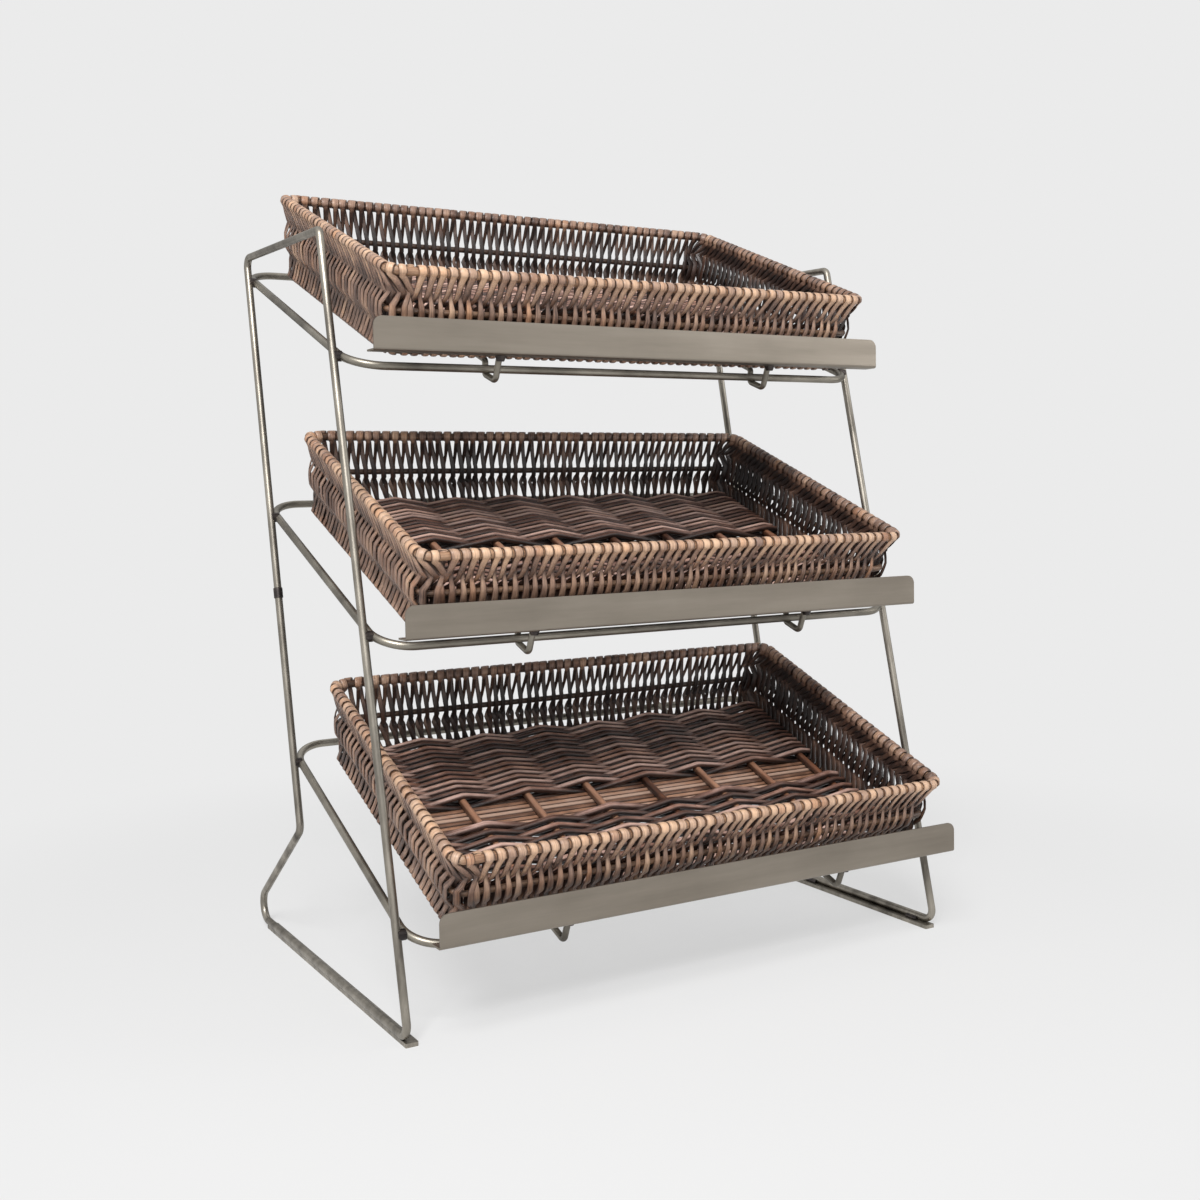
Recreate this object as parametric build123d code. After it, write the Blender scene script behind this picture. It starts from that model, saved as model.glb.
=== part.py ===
from build123d import *
import math
import os

# Counter display stand: two bent-rod side frames carry three sloping wire shelves. Each shelf has
# a sheet-steel ticket strip in front and a shallow willow basket that lifts out.
# Millimetres, X to the right, Y to the back, Z up. The pieces are drawn with Y = 0 at the front
# feet and Z = 0 at the axes of the bottom rails, and are moved as one to the stand's origin, the
# middle of its footprint at counter level, when they are written out.

# Side frames: closed loops of rod, seen from the side
frame_rod = 6.4
basket_side_gap = 25.0
front_top_y = 140.0
front_top_z = 591.5
rear_top_y = 336.0
rear_top_z = 599.0
knee_y = 230.0
knee_z = 104.0
rear_foot_y = 374.0
front_foot_bend = 9.0
front_top_bend = 6.0
rear_top_bend = 8.0
knee_bend = 10.0
rear_foot_bend = 14.0
butt_weld_z = 303.0
butt_weld_swell = 0.7
butt_weld_length = 9.0

# Foot bars under the bottom rails
foot_bar_width = 10.0
foot_bar_thickness = 3.2
foot_bar_inset = 1.5
foot_bar_front_y = 1.0
foot_bar_edge = 1.0
foot_weld_width = 4.6
foot_weld_length = 13.0
foot_weld_lift_share = 0.25
foot_weld_shares = (0.06, 0.5, 0.93)

# Shelves, each a closed rod ring on a slope
shelf_slope = 21.5
shelf_names = ("bottom", "middle", "top")
first_shelf_z = 64.0
shelf_rise = 210.0
shelf_setback = 47.5
ring_rod = 6.4
ring_tail = 36.0
ring_bend = 28.0
weld_sink = 0.3
ring_weld_size = 8.4
ring_weld_depth = 6.4

# Support wires, and the hook that carries the ticket strip
wire_rod = 5.0
wire_spacing = 260.0
wire_tail = 4.0
wire_bend = 3.4
hook_bend = 4.2
hook_reach = 13.0
hook_drop = 10.2
hook_dip_share = 1.3
hook_lean_share = 1 / 3
strip_weld_size = 9.0
strip_weld_height = 4.0

# Ticket strips
strip_side_gap = 10.75
strip_height = 25.2
strip_sheet = 1.4
strip_corner = 7.0
strip_fold = 2.2
strip_flange = 14.5
strip_reach = 36.5
strip_lift = 8.0
hook_to_face = 11.0

# Baskets, measured in their own frame: X along the length, Y front to back, Z from the underside
basket_clearance = 0.3
basket_overhang = 5.0
rim_length = 450.0
rim_width = 262.0
rim_shift = 2.0
rim_height = 66.5
rim_rod = 11.0
rim_corner = 10.0
end_flare = 4.0
side_flare = 3.0
base_rod = 8.4
base_corner = 15.0
middle_rod = 5.0
middle_height_share = 0.48
wall_thickness = 7.0

# Basket floor
stake_count = 8
stake_rod = 7.0
stake_inset = 27.0
stick_count = 8
stick_rod = 5.0
stick_pitch = 6.1
stick_lift = 0.2
floor_rod = 5.4
band_width = 49.0
slot_rows = 6
slot_width = 2.6
slot_length_share = 0.55

# Values worked out from the sizes above: the stand is made to fit its baskets
base_length = rim_length - 2 * end_flare
base_width = rim_width - 2 * side_flare
frame_spacing = rim_length + 2 * basket_side_gap
strip_length = frame_spacing - 2 * strip_side_gap
basket_centre = base_width / 2 - basket_overhang
ring_depth = base_width - basket_overhang + ring_tail
half_spacing = frame_spacing / 2
ring_half_width = half_spacing - frame_rod / 2 - ring_rod / 2 + weld_sink
wire_height = ring_rod / 2 + wire_rod / 2 - weld_sink
basket_height = wire_height + wire_rod / 2 + basket_clearance
foot_bar_top = -frame_rod / 2
counter_z = foot_bar_top - foot_bar_thickness
stake_height = stick_lift + stick_rod + stake_rod / 2
floor_height = stake_height + stake_rod / 2 + floor_rod


def shelf_start(level):
    """Y and Z of a shelf's front rail; level counts up from the bottom shelf."""
    return shelf_setback * level, first_shelf_z + shelf_rise * level


def shelf_place(level):
    """From shelf coordinates (X, up the slope, square to it) to the stand."""
    start_y, start_z = shelf_start(level)
    return Location((0, start_y, start_z), (shelf_slope, 0, 0))


def rod_along(path, diameter):
    """A round rod swept along a wire or an edge."""
    section = Plane(origin=path @ 0, z_dir=path % 0) * Circle(diameter / 2)
    return sweep(section, path=path)


def rounded_rectangle(length, width, corner, z):
    """The centreline of a closed ring, centred on the Z axis."""
    x = length / 2
    y = width / 2
    points = [(0, -y, z), (x, -y, z), (x, y, z), (-x, y, z), (-x, -y, z)]
    return FilletPolyline(*points, radius=[0] + [corner] * 4, close=True)


def side_profile():
    """Corners of a side frame's centreline as (Y, Z) with their bend radii."""
    return (
        ((0, 0), front_foot_bend),
        ((front_top_y, front_top_z), front_top_bend),
        ((rear_top_y, rear_top_z), rear_top_bend),
        ((knee_y, knee_z), knee_bend),
        ((rear_foot_y, 0), rear_foot_bend),
    )


def side_frame(x):
    corners = side_profile()
    points = [(x, rear_foot_y / 2, 0)] + [(x, *point) for point, bend in corners]
    bends = [0] + [bend for point, bend in corners]
    return rod_along(FilletPolyline(*points, radius=bends, close=True), frame_rod)


def back_leg_y(z):
    """Y of the back leg's axis above the knee."""
    share = (z - knee_z) / (rear_top_z - knee_z)
    return knee_y + share * (rear_top_y - knee_y)


def butt_weld(x, frame):
    """A collar of weld where the loop's two ends meet on the back leg."""
    lean = math.degrees(math.atan2(rear_top_y - knee_y, rear_top_z - knee_z))
    collar = Cylinder(frame_rod / 2 + butt_weld_swell, butt_weld_length)
    rims = collar.edges().filter_by(GeomType.CIRCLE)
    collar = chamfer(rims, butt_weld_swell / 2)
    place = Location((x, back_leg_y(butt_weld_z), butt_weld_z), (-lean, 0, 0))
    return place * collar - frame


def foot_bar_span():
    """Front and rear end of a foot bar; it stops where the rail bends up."""
    half_turn = math.atan2(knee_z, rear_foot_y - knee_y) / 2
    straight_end = rear_foot_y - rear_foot_bend / math.tan(half_turn)
    return foot_bar_front_y, straight_end


def foot_bar(side):
    front, rear = foot_bar_span()
    outer = half_spacing + foot_bar_inset
    x = side * (outer - foot_bar_width / 2)
    z = foot_bar_top - foot_bar_thickness / 2
    bar = Box(foot_bar_width, rear - front, foot_bar_thickness)
    bar = fillet(bar.edges().filter_by(Axis.Z), foot_bar_edge)
    return Pos(x, (front + rear) / 2, z) * bar


def foot_welds(side, frame, bar):
    """Short beads in the nook between the rail and the inner half of the bar."""
    front, rear = foot_bar_span()
    x = side * (half_spacing - frame_rod / 2)
    z = foot_bar_top + foot_weld_width * foot_weld_lift_share
    beads = []
    for share in foot_weld_shares:
        y = rear + share * (front - rear)
        bead = Pos(x, y, z) * Cylinder(foot_weld_width / 2, foot_weld_length, rotation=(90, 0, 0))
        beads.append(bead - frame - bar)
    return beads


def shelf_ring(level):
    ring = rounded_rectangle(2 * ring_half_width, ring_depth, ring_bend, 0)
    place = shelf_place(level) * Pos(0, ring_depth / 2, 0)
    return place * rod_along(ring, ring_rod)


def crossing(level, low, high):
    """Where a shelf's slope meets a leg through two (Y, Z) points, seen from the side."""
    start_y, start_z = shelf_start(level)
    run = math.cos(math.radians(shelf_slope))
    rise = math.sin(math.radians(shelf_slope))
    lean = (high[0] - low[0]) / (high[1] - low[1])
    leg_y = low[0] + lean * (start_z - low[1])
    along = (leg_y - start_y) / (run - lean * rise)
    return start_y + along * run, start_z + along * rise


def ring_welds(level, ring, frames):
    """A bead at each of the four places where the ring crosses a leg."""
    front_leg = ((0, 0), (front_top_y, front_top_z))
    back_leg = ((knee_y, knee_z), (rear_top_y, rear_top_z))
    beads = []
    for side, frame in zip((-1, 1), frames):
        x = side * (half_spacing - frame_rod / 2)
        for leg in (front_leg, back_leg):
            disc = Cylinder(ring_weld_size / 2, ring_weld_depth, rotation=(0, 90, 0))
            beads.append(Pos(x, *crossing(level, *leg)) * disc - frame - ring)
    return beads


def strip_underside(level):
    """Y of the strip's face and Z of its lower side."""
    start_y, start_z = shelf_start(level)
    return start_y - strip_reach, start_z + strip_lift


def hook_end_y(level):
    face_y, underside = strip_underside(level)
    return face_y + hook_to_face + wire_rod / 2


def support_wire(level, x):
    """Lies on the back rail, dips behind the front rail and hooks up to the ticket strip."""
    start_y, start_z = shelf_start(level)
    turn = math.radians(shelf_slope)
    gap = ring_rod / 2 + wire_rod / 2 - weld_sink
    dip = gap * hook_dip_share
    face_y, underside = strip_underside(level)

    def on_shelf(along, up):
        y = start_y + along * math.cos(turn) - up * math.sin(turn)
        return x, y, start_z + along * math.sin(turn) + up * math.cos(turn)

    path = FilletPolyline(
        on_shelf(ring_depth + wire_tail, wire_height),
        on_shelf(dip, wire_height),
        on_shelf(gap - wire_rod * hook_lean_share, -gap),
        (x, start_y - hook_reach, start_z - hook_drop),
        (x, hook_end_y(level), underside + wire_rod),
        radius=[wire_bend, wire_bend, hook_bend],
    )
    wire = rod_along(path, wire_rod)
    above = Pos(x, face_y, underside) * Box(
        2 * wire_rod, 2 * strip_flange, 2 * wire_rod, align=(Align.CENTER, Align.MIN, Align.MIN)
    )
    return wire - above


def ticket_strip(level):
    """Face plate with a flange folded back along its lower edge."""
    face_y, underside = strip_underside(level)
    outline = Polyline(
        (0, strip_height),
        (0, 0),
        (strip_flange, 0),
        (strip_flange, strip_sheet),
        (strip_sheet, strip_sheet),
        (strip_sheet, strip_height),
        close=True,
    )
    profile = Plane.YZ * make_face(outline)
    strip = extrude(profile, strip_length / 2, both=True)
    lengthwise = strip.edges().filter_by(Axis.X)
    fold = lengthwise.sort_by_distance((0, 0, 0))[0]
    strip = fillet(fold, strip_fold)
    upright = strip.edges().filter_by(Axis.Y).group_by(Axis.Z)[-1]
    strip = fillet(upright, strip_corner)
    return Pos(0, face_y, underside) * strip


def strip_welds(level, wires):
    """A collar of weld round each hook's tip, under the flange."""
    face_y, underside = strip_underside(level)
    beads = []
    for side, wire in zip((-1, 1), wires):
        collar = Cone(
            wire_rod / 2 + weld_sink,
            strip_weld_size / 2,
            strip_weld_height,
            align=(Align.CENTER, Align.CENTER, Align.MAX),
        )
        place = Pos(side * wire_spacing / 2, hook_end_y(level), underside)
        beads.append(place * collar - wire)
    return beads


def basket_place(level):
    """From a basket's own frame to the stand."""
    return shelf_place(level) * Pos(0, basket_centre, basket_height)


def hoop(length, width, corner, z, diameter, shift):
    return Pos(0, shift, 0) * rod_along(rounded_rectangle(length, width, corner, z), diameter)


def rim_hoop():
    return hoop(rim_length, rim_width, rim_corner, rim_height, rim_rod, rim_shift)


def base_hoop():
    length = base_length - base_rod
    width = base_width - base_rod
    return hoop(length, width, base_corner - base_rod / 2, base_rod / 2, base_rod, 0)


def wall_section(z, inset):
    """The wall's outline at a height, inset from the surface through the hoops' axes."""
    low = base_rod / 2
    share = (z - low) / (rim_height - low)
    length = base_length - base_rod + share * (rim_length - base_length + base_rod)
    width = base_width - base_rod + share * (rim_width - base_width + base_rod)
    corner = base_corner - base_rod / 2 + share * (rim_corner - base_corner + base_rod / 2)
    return length - 2 * inset, width - 2 * inset, corner - inset, share * rim_shift


def middle_hoop():
    z = base_rod / 2 + middle_height_share * (rim_height - base_rod / 2)
    length, width, corner, shift = wall_section(z, 0)
    return hoop(length, width, corner, z, middle_rod, shift)


def wall_block(inset):
    """The space inside the wall's surface, from the base hoop's axis to the rim's."""
    faces = []
    for z in (base_rod / 2, rim_height):
        length, width, corner, shift = wall_section(z, inset)
        faces.append(Pos(0, shift, z) * RectangleRounded(length, width, corner))
    return loft(faces, ruled=True)


def wall_weave(hoops):
    """The woven wall as a shell round the hoops, which it holds."""
    wall = wall_block(-wall_thickness / 2) - wall_block(wall_thickness / 2)
    for piece in hoops:
        wall = wall - piece
    return wall


def stake_places():
    span = base_length - 2 * stake_inset
    return [span * (number / (stake_count - 1) - 1 / 2) for number in range(stake_count)]


def floor_stakes():
    reach = base_width / 2 - base_rod - basket_clearance
    stakes = []
    for x in stake_places():
        stake = Cylinder(stake_rod / 2, 2 * reach, rotation=(90, 0, 0))
        stakes.append(Pos(x, 0, stake_height) * stake)
    return stakes


def centre_sticks():
    reach = base_length / 2 - base_rod - basket_clearance
    sticks = []
    for number in range(stick_count):
        y = stick_pitch * (number - (stick_count - 1) / 2)
        stick = Cylinder(stick_rod / 2, 2 * reach, rotation=(0, 90, 0))
        sticks.append(Pos(0, y, stick_lift + stick_rod / 2) * stick)
    return sticks


def woven_side():
    """The floor from the front: two rods and a stake deep at each stake, one rod deep between."""
    places = stake_places()
    thin = floor_rod / 2
    bays = [(left + right) / 2 for left, right in zip(places, places[1:])] + [base_length / 2]
    upper = [(-base_length / 2, stake_height + thin)]
    lower = [(-base_length / 2, stake_height - thin)]
    for x, bay in zip(places, bays):
        left, right = x - stake_rod / 2, x + stake_rod / 2
        upper += [(left, floor_height), (right, floor_height), (bay, stake_height + thin)]
        lower += [(left, 0), (right, 0), (bay, stake_height - thin)]
    return upper + lower[::-1]


def floor_slots():
    """See-through slots between the woven rods, in rows between the stakes."""
    places = stake_places()
    depth = base_width / 2 - base_rod - band_width / 2
    slots = []
    for left, right in zip(places, places[1:]):
        slot = Box(slot_length_share * (right - left), slot_width, 3 * floor_height)
        for row in range(slot_rows):
            y = band_width / 2 + depth * (row + 1 / 2) / slot_rows
            slots += [Pos((left + right) / 2, side * y, 0) * slot for side in (-1, 1)]
    return slots


def floor_weave(wall, hoops, stakes):
    """Two woven panels round the stakes, in front of the centre sticks and behind them."""
    length, width, corner, shift = wall_section(base_rod / 2, wall_thickness / 2)
    side = Plane.XZ * make_face(Polyline(*woven_side(), close=True))
    panel = extrude(RectangleRounded(length, width, corner), floor_height)
    panel = panel & extrude(side, base_width / 2, both=True)
    panel = panel - [Box(base_length, band_width, 3 * floor_height)] - floor_slots()
    for piece in list(hoops) + list(stakes) + [wall]:
        panel = panel - piece
    return panel


def write(name, pieces, place):
    """One file for a node, whose pieces stay separate solids."""
    solids = []
    for piece in pieces:
        solids += (place * piece).solids()
    node = Compound(children=solids) if len(solids) > 1 else solids[0]
    export_step(node, os.path.join("parts", name + ".step"))


def stand_pieces():
    """Every node's name with its pieces, in the drawing's place."""
    nodes = {}
    sides = {"left": -1, "right": 1}
    frames = [side_frame(side * half_spacing) for side in sides.values()]
    bars = [foot_bar(side) for side in sides.values()]
    beads = []
    for (name, side), frame, bar in zip(sides.items(), frames, bars):
        nodes[name + "_side_frame"] = [frame]
        nodes[name + "_foot_bar"] = [bar]
        beads += foot_welds(side, frame, bar)
    nodes["foot_welds"] = beads
    nodes["frame_butt_welds"] = [
        butt_weld(side * half_spacing, frame) for side, frame in zip(sides.values(), frames)
    ]
    for level, shelf in enumerate(shelf_names):
        ring = shelf_ring(level)
        wires = [support_wire(level, side * wire_spacing / 2) for side in sides.values()]
        nodes[shelf + "_shelf_ring"] = [ring]
        nodes[shelf + "_ring_welds"] = ring_welds(level, ring, frames)
        for name, wire in zip(sides, wires):
            nodes[shelf + "_" + name + "_support_wire"] = [wire]
        nodes[shelf + "_ticket_strip"] = [ticket_strip(level)]
        nodes[shelf + "_strip_welds"] = strip_welds(level, wires)
    return nodes


def basket_pieces():
    """The pieces of one basket in its own frame."""
    rim = rim_hoop()
    middle = middle_hoop()
    base = base_hoop()
    wall = wall_weave((rim, middle, base))
    stakes = floor_stakes()
    return {
        "rim_hoop": [rim],
        "middle_hoop": [middle],
        "base_hoop": [base],
        "wall_weave": [wall],
        "floor_weave": [floor_weave(wall, (base,), stakes)],
        "floor_stakes": stakes,
        "centre_sticks": centre_sticks(),
    }


def footprint_middle(nodes):
    """Y half way between the pieces that reach furthest forward and furthest back."""
    outermost = ("bottom_ticket_strip", "bottom_basket_rim_hoop", "top_shelf_ring", "left_side_frame")
    boxes = [nodes[name][0].bounding_box() for name in outermost]
    return (min(box.min.Y for box in boxes) + max(box.max.Y for box in boxes)) / 2


def main():
    os.makedirs("parts", exist_ok=True)
    nodes = stand_pieces()
    basket = basket_pieces()
    for level, shelf in enumerate(shelf_names):
        place = basket_place(level)
        for name, pieces in basket.items():
            nodes[shelf + "_basket_" + name] = [place * piece for piece in pieces]
    origin = Pos(0, -footprint_middle(nodes), -counter_z)
    print("moved by", origin.position)
    for name, pieces in nodes.items():
        write(name, pieces, origin)


main()
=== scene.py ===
import math

import bpy
from mathutils import Euler, Matrix, Vector


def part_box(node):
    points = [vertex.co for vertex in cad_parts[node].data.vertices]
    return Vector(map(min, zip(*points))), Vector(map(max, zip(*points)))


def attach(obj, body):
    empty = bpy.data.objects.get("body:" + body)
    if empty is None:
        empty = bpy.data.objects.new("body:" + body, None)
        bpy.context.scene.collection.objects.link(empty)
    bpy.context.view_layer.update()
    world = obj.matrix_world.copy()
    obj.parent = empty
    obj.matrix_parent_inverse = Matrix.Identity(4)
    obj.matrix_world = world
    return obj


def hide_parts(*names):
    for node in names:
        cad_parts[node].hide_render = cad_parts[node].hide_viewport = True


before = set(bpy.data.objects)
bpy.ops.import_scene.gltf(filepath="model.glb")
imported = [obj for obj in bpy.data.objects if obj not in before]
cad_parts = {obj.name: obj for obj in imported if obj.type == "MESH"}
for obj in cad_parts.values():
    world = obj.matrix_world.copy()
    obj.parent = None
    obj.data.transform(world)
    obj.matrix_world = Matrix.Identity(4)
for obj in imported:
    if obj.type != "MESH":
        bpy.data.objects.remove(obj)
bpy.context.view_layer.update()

# The counter
# A wide pale sheet that the stand rests on. It is the same pale grey as the air behind it, so no
# horizon shows, and it takes a faint shadow under the foot bars.
pale = (0.831, 0.831, 0.831, 1)
counter_radius = 3.0
counter_corners = 64
shadow_reach = 0.9
shadow_share = 0.3


def add(tree, kind, inputs=None, **settings):
    """A node with its sockets filled: a value is set, another node's output is linked."""
    node = tree.nodes.new(kind)
    for name, value in settings.items():
        setattr(node, name, value)
    for name, value in (inputs or {}).items():
        if isinstance(value, bpy.types.NodeSocket):
            tree.links.new(value, node.inputs[name])
        else:
            node.inputs[name].default_value = value
    return node


def figure(tree, operation, *values):
    """The output of a Math node."""
    return add(tree, "ShaderNodeMath", dict(enumerate(values)), operation=operation).outputs[0]


def mapped(tree, value, start, end, low=0, high=1, curve="LINEAR"):
    """Goes from low to high as the value goes from start to end."""
    return add(tree, "ShaderNodeMapRange", {
        "Value": value, "From Min": start, "From Max": end, "To Min": low, "To Max": high,
    }, interpolation_type=curve).outputs["Result"]


def seen_directly(tree):
    """1 where the camera looks at the surface, straight or through metal or glass."""
    path = add(tree, "ShaderNodeLightPath").outputs
    either = figure(tree, "MAXIMUM", path["Is Camera Ray"], path["Is Glossy Ray"])
    return figure(tree, "MAXIMUM", either, path["Is Transmission Ray"])


counter_mesh = bpy.data.meshes.new("counter")
edge = [
    (counter_radius * math.cos(turn), counter_radius * math.sin(turn), 0)
    for turn in [math.tau * step / counter_corners for step in range(counter_corners)]
]
counter_mesh.from_pydata(edge, [], [list(range(counter_corners))])
counter = bpy.data.objects.new("counter", counter_mesh)
bpy.context.collection.objects.link(counter)

paper = bpy.data.materials.new("pale_paper")
paper.use_nodes = True
tree = paper.node_tree
tree.nodes.clear()
where = add(tree, "ShaderNodeTexCoord").outputs["Object"]
away = add(tree, "ShaderNodeVectorMath", {0: where}, operation="LENGTH").outputs["Value"]
near = mapped(tree, away, shadow_reach, shadow_reach / 2, 0, shadow_share, "SMOOTHSTEP")
lit = add(tree, "ShaderNodeBsdfDiffuse", {"Color": pale}).outputs[0]
plain = add(tree, "ShaderNodeEmission", {"Color": pale, "Strength": 1}).outputs[0]
hidden = figure(tree, "SUBTRACT", 1, seen_directly(tree))
blend = figure(tree, "MAXIMUM", near, hidden)
mix = add(tree, "ShaderNodeMixShader", {0: blend, 1: plain, 2: lit})
add(tree, "ShaderNodeOutputMaterial", {"Surface": mix.outputs[0]})
counter_mesh.materials.append(paper)

# Studio light
# A pale room all round, one large soft lamp high at the left and a weaker one at the right, at a
# level where a colour shows about as it is. What the steel mirrors is bright to the left, in front
# and overhead, and dark to the right and below.
room_light = 0.4
dark_side = 0.22
bright_side = 1.1
ceiling = 1.2
stand_middle = (0, 0, 0.33)

world = bpy.data.worlds.new("studio")
bpy.context.scene.world = world
world.use_nodes = True
tree = world.node_tree
tree.nodes.clear()
towards = add(tree, "ShaderNodeTexCoord").outputs["Generated"]
towards = add(tree, "ShaderNodeSeparateXYZ", {0: towards}).outputs
in_front = mapped(tree, towards["Y"], -0.2, -0.8, dark_side, bright_side)
overhead = mapped(tree, towards["Z"], 0.2, 0.8, dark_side, ceiling)
leftward = mapped(tree, towards["X"], -0.1, -0.7, dark_side, bright_side)
mirrored = figure(tree, "MAXIMUM", figure(tree, "MAXIMUM", in_front, overhead), leftward)
path = add(tree, "ShaderNodeLightPath").outputs
strength = add(tree, "ShaderNodeMix", {
    "Factor": seen_directly(tree), "A": room_light, "B": 1,
}).outputs["Result"]
strength = add(tree, "ShaderNodeMix", {
    "Factor": path["Is Glossy Ray"], "A": strength, "B": mirrored,
}).outputs["Result"]
sky = add(tree, "ShaderNodeBackground", {"Color": pale, "Strength": strength})
add(tree, "ShaderNodeOutputWorld", {"Surface": sky.outputs[0]})


def soft_lamp(name, place, size, power, glint):
    """A square lamp that shines on the stand's middle; glint is how much it mirrors."""
    data = bpy.data.lights.new(name, "AREA")
    data.size = size
    data.energy = power
    data.specular_factor = glint
    lamp = bpy.data.objects.new(name, data)
    lamp.location = place
    aim = Vector(stand_middle) - Vector(place)
    lamp.rotation_euler = aim.to_track_quat("-Z", "Y").to_euler()
    bpy.context.collection.objects.link(lamp)


soft_lamp("high_left_lamp", (-1.3, -1.6, 2.1), size=1.0, power=78, glint=1.0)
soft_lamp("right_lamp", (1.9, -1.3, 1.1), size=1.2, power=10, glint=0.1)

# Camera
# It stands in front of the stand and to its left, a little above the middle shelf, and looks
# nearly level.
camera_place = (-0.6161, -1.0770, 0.3919)
camera_turn = (86.967, 1.031, -30.119)

camera_data = bpy.data.cameras.new("camera")
camera_data.lens = 42.04
camera_data.sensor_width = 36
camera_data.shift_x = 0.00136
camera_data.shift_y = -0.0284
camera_data.clip_start = 0.05
camera_data.clip_end = 50
camera = bpy.data.objects.new("camera", camera_data)
camera.location = camera_place
camera.rotation_mode = "XYZ"
camera.rotation_euler = Euler([math.radians(angle) for angle in camera_turn], "XYZ")
bpy.context.collection.objects.link(camera)
bpy.context.scene.camera = camera
bpy.context.scene.view_settings.view_transform = "Standard"

# Side frames, foot bars and shelf rods
# Bent mild-steel rod, welded where it crosses, with its grey mill skin brushed down and lacquered
# clear: warm grey, with darker rolled-in streaks and small bright rubbed spots.
shelf_names = ("bottom", "middle", "top")


def noise(tree, where, scale, detail=3, roughness=0.55):
    """The output of a Noise Texture node."""
    return add(tree, "ShaderNodeTexNoise", {
        "Vector": where, "Scale": scale, "Detail": detail, "Roughness": roughness,
    }).outputs["Fac"]


def ramp(tree, value, stops):
    """Colours along a value: each stop is a place from 0 to 1 and a colour."""
    node = add(tree, "ShaderNodeValToRGB", {"Fac": value})
    points = node.color_ramp.elements
    while len(points) < len(stops):
        points.new(0.5)
    for point, (place, colour) in zip(points, stops):
        point.position = place
        point.color = (*colour, 1)
    return node.outputs["Color"]


def surface(name):
    """A new material with its tree, its shader and its Object coordinates."""
    material = bpy.data.materials.new(name)
    material.use_nodes = True
    tree = material.node_tree
    tree.nodes.clear()
    shader = add(tree, "ShaderNodeBsdfPrincipled")
    add(tree, "ShaderNodeOutputMaterial", {"Surface": shader.outputs[0]})
    return material, tree, shader, add(tree, "ShaderNodeTexCoord").outputs["Object"]


def steel(name, dark, middle, light, drawn):
    """Lacquered mill steel; drawn stretches the streaks along each axis."""
    streaks_per_metre, clouds_per_metre, cloud_share = 60, 14, 0.35
    dull, rubbed = 0.46, 0.36
    material, tree, shader, where = surface(name)
    along = add(tree, "ShaderNodeMapping", {"Vector": where, "Scale": drawn}).outputs["Vector"]
    streak = noise(tree, along, streaks_per_metre, 5, 0.62)
    cloud = noise(tree, where, clouds_per_metre, 3)
    mixed = add(tree, "ShaderNodeMix", {"Factor": cloud_share, "A": streak, "B": cloud})
    colour = ramp(tree, mixed.outputs[0], ((0.32, dark), (0.5, middle), (0.7, light)))
    tree.links.new(colour, shader.inputs["Base Color"])
    tree.links.new(mapped(tree, streak, 0.3, 0.7, dull, rubbed), shader.inputs["Roughness"])
    shader.inputs["Metallic"].default_value = 0.9
    bump = add(tree, "ShaderNodeBump", {
        "Height": streak, "Strength": 0.03, "Distance": 0.0004,
    }).outputs["Normal"]
    tree.links.new(bump, shader.inputs["Normal"])
    return material


def coat(node, material):
    """Gives a piece that keeps its own shape its finish."""
    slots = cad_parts[node].material_slots
    if not slots:
        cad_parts[node].data.materials.append(material)
    for each in slots:
        each.material = material


rod_steel = steel("rod_steel", dark=(0.09, 0.08, 0.068), middle=(0.27, 0.247, 0.21),
                  light=(0.48, 0.44, 0.375), drawn=(1, 1, 0.12))
for side in ("left", "right"):
    coat(side + "_side_frame", rod_steel)
    coat(side + "_foot_bar", rod_steel)
shelf_steel = steel("shelf_steel", dark=(0.08, 0.072, 0.062), middle=(0.235, 0.215, 0.18),
                    light=(0.42, 0.39, 0.33), drawn=(0.2, 0.3, 0.3))
for shelf in shelf_names:
    coat(shelf + "_shelf_ring", shelf_steel)
    for side in ("left", "right"):
        coat(shelf + "_" + side + "_support_wire", shelf_steel)

# Welds
# Small beads of mild-steel weld where rods meet, dark with scale and blued by the heat. They are
# left as they came, under the same clear lacquer.
weld_steel = steel("weld_steel", dark=(0.018, 0.016, 0.017), middle=(0.06, 0.052, 0.05),
                   light=(0.16, 0.13, 0.11), drawn=(1, 1, 1))
for node in ("foot_welds", "frame_butt_welds"):
    coat(node, weld_steel)
for shelf in shelf_names:
    coat(shelf + "_ring_welds", weld_steel)
    coat(shelf + "_strip_welds", weld_steel)

# Ticket strips
# Mild-steel sheet with rounded top corners, folded along the lower edge and brushed along its
# length. Each is welded to the hooks of its two support wires.
strip_steel = steel("strip_steel", dark=(0.21, 0.183, 0.15), middle=(0.258, 0.226, 0.187),
                    light=(0.31, 0.273, 0.228), drawn=(0.08, 1, 1))
for shelf in shelf_names:
    coat(shelf + "_ticket_strip", strip_steel)

# Basket hoops
# Each basket is built on three closed hoops of willow rod, the thick one at the rim, a thin one
# half way down and one at the base. The strand is wound round them.
slope = math.radians(21.5)
# The middle hoop sits this much higher than in the CAD.
middle_lift = 0.0015
# Wrapped is how thick the hoop is in the CAD, with the strand round it; rod is the willow alone.
# The middle hoop's low tone is painted shade, for the shadow it lies in behind the strands.
hoops = {
    "rim_hoop": {"piece": "rim_rod", "wrapped": 0.011, "rod": 0.007, "corner": 0.0100,
                 "tone": 0.35, "slot": "willow_rim"},
    "middle_hoop": {"piece": "middle_rod", "wrapped": 0.005, "rod": 0.005, "corner": 0.0104,
                    "tone": 0.0, "slot": "willow_wall"},
    "base_hoop": {"piece": "base_rod", "wrapped": 0.0084, "rod": 0.0046, "corner": 0.0108,
                  "tone": 0.0, "slot": "willow_wall"},
}
wrapped_base = hoops["base_hoop"]["wrapped"]


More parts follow.
